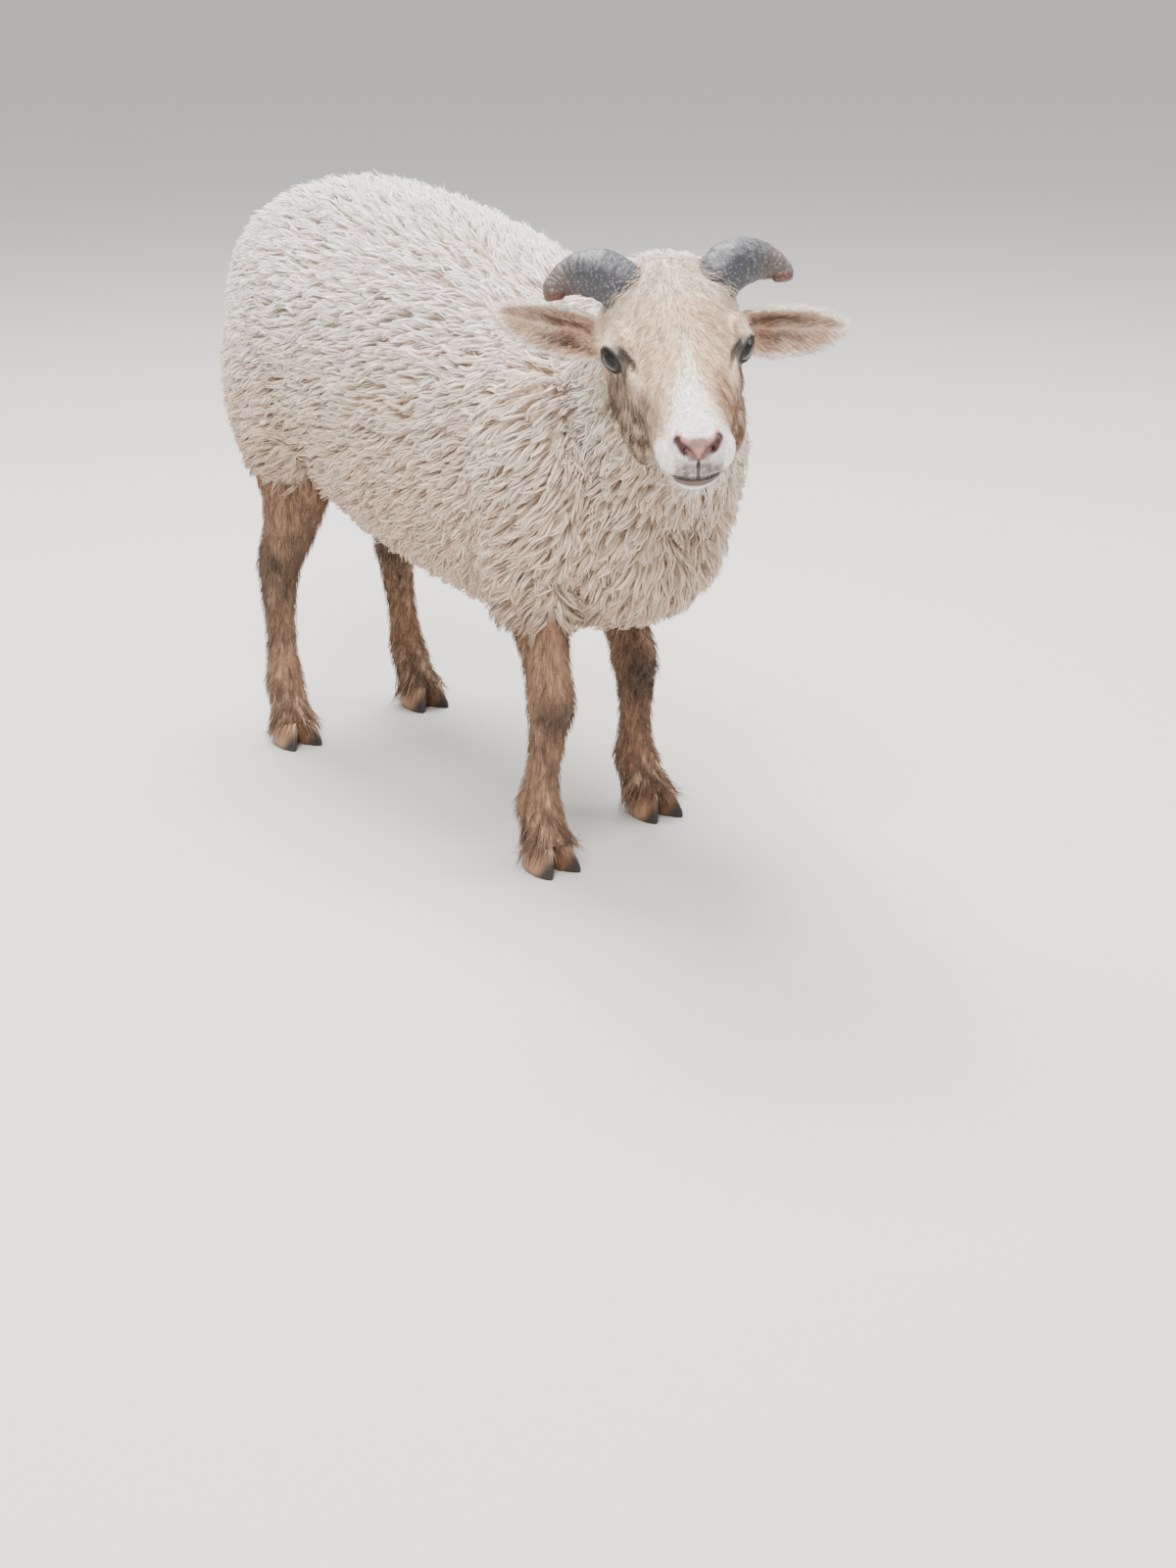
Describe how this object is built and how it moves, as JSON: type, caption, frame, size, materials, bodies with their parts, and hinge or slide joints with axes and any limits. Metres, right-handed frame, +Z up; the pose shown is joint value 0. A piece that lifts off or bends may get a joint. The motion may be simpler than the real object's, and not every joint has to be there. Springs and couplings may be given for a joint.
{
  "type": "ouessant sheep figure",
  "caption": "Life-size standing figure of a young short-tailed dwarf ram with a cream fleece, bare tan face and legs, and short curled horns.",
  "frame": {"origin": "on the floor, under the middle of the bounding box", "axes": "+Z up; the body faces -Y with its left side towards +X, and its length lies along Y"},
  "size_m": [0.2576, 0.7859, 0.5109],
  "materials": {
    "fleece": "matte wool",
    "face": "short matte hair",
    "leg": "short matte hair",
    "horn": "dry ribbed horn",
    "hoof": "satin horn",
    "eye": "wet gloss"
  },
  "bodies": {
    "root": {"torso": "fleece", "neck": "fleece", "tail": "fleece", "head": "face", "ear_left": "face", "horn_left": "horn", "eye_left": "eye", "ear_right": "face", "horn_right": "horn", "eye_right": "eye", "foreleg_right": "leg", "fore_right_claw_left": "hoof", "fore_right_claw_right": "hoof", "foreleg_left": "leg", "fore_left_claw_left": "hoof", "fore_left_claw_right": "hoof", "hindleg_right": "leg", "hind_right_claw_left": "hoof", "hind_right_claw_right": "hoof", "hindleg_left": "leg", "hind_left_claw_left": "hoof", "hind_left_claw_right": "hoof"}
  },
  "joints": []
}
